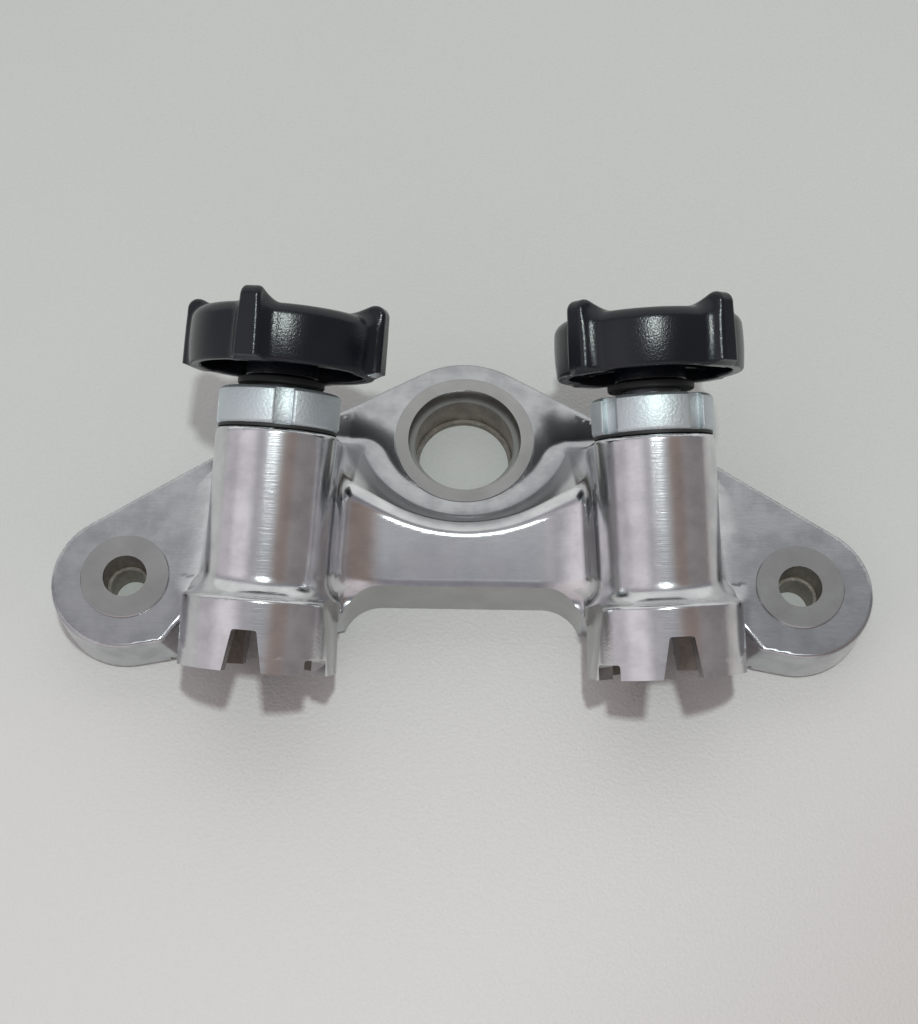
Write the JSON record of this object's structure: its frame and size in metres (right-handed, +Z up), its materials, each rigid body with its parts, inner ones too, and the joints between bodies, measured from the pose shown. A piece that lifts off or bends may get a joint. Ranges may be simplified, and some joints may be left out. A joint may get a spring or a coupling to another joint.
{
  "type": "motorcycle triple clamp",
  "caption": "Upper fork bridge of a small motorcycle with slotted sockets for folding handlebars, each held by a hand knob on a clamp bolt in a ring nut.",
  "frame": {"origin": "centre of the steering stem bore, on the flat underside", "axes": "+X along the line between the fork bores, to the right as seen from the socket mouths; +Y from the socket mouths towards the clamp knobs; +Z up along the steering stem bore"},
  "size_m": [0.1948, 0.093, 0.0712],
  "materials": {
    "casting": "polished",
    "knob_plastic": "satin",
    "bolt_steel": "machined",
    "black_washer": "matte",
    "zinc_steel": "zinc plated",
    "black_rubber": "matte",
    "spring_steel": "oiled black"
  },
  "bodies": {
    "bridge": {"clamp_body": "casting", "left_ring_nut": "zinc_steel", "left_seal_washer": "black_rubber", "left_o_ring": "black_rubber", "right_ring_nut": "zinc_steel", "right_seal_washer": "black_rubber", "right_o_ring": "black_rubber"},
    "left_slider": {"left_thrust_washer": "black_washer", "left_stop_washer": "bolt_steel"},
    "left_knob_unit": {"left_knob": "knob_plastic", "left_clamp_bolt": "bolt_steel", "left_retaining_ring": "spring_steel"},
    "right_slider": {"right_thrust_washer": "black_washer", "right_stop_washer": "bolt_steel"},
    "right_knob_unit": {"right_knob": "knob_plastic", "right_clamp_bolt": "bolt_steel", "right_retaining_ring": "spring_steel"}
  },
  "joints": [
    {"name": "left_knob_slide", "type": "slide", "parent": "bridge", "child": "left_slider", "axis": [0.066, 0.9202, 0.3859], "range_m": [-0.001, 0.001]},
    {"name": "left_knob_turn", "type": "hinge", "parent": "left_slider", "child": "left_knob_unit", "pos_m": [-0.04695, -0.0618, 0.0173], "axis": [0.066, 0.9202, 0.3859], "continuous": true},
    {"name": "right_knob_slide", "type": "slide", "parent": "bridge", "child": "right_slider", "axis": [-0.066, 0.9202, 0.3859], "range_m": [-0.0015, 0.0005]},
    {"name": "right_knob_turn", "type": "hinge", "parent": "right_slider", "child": "right_knob_unit", "pos_m": [0.04695, -0.0618, 0.0173], "axis": [-0.066, 0.9202, 0.3859], "continuous": true}
  ]
}
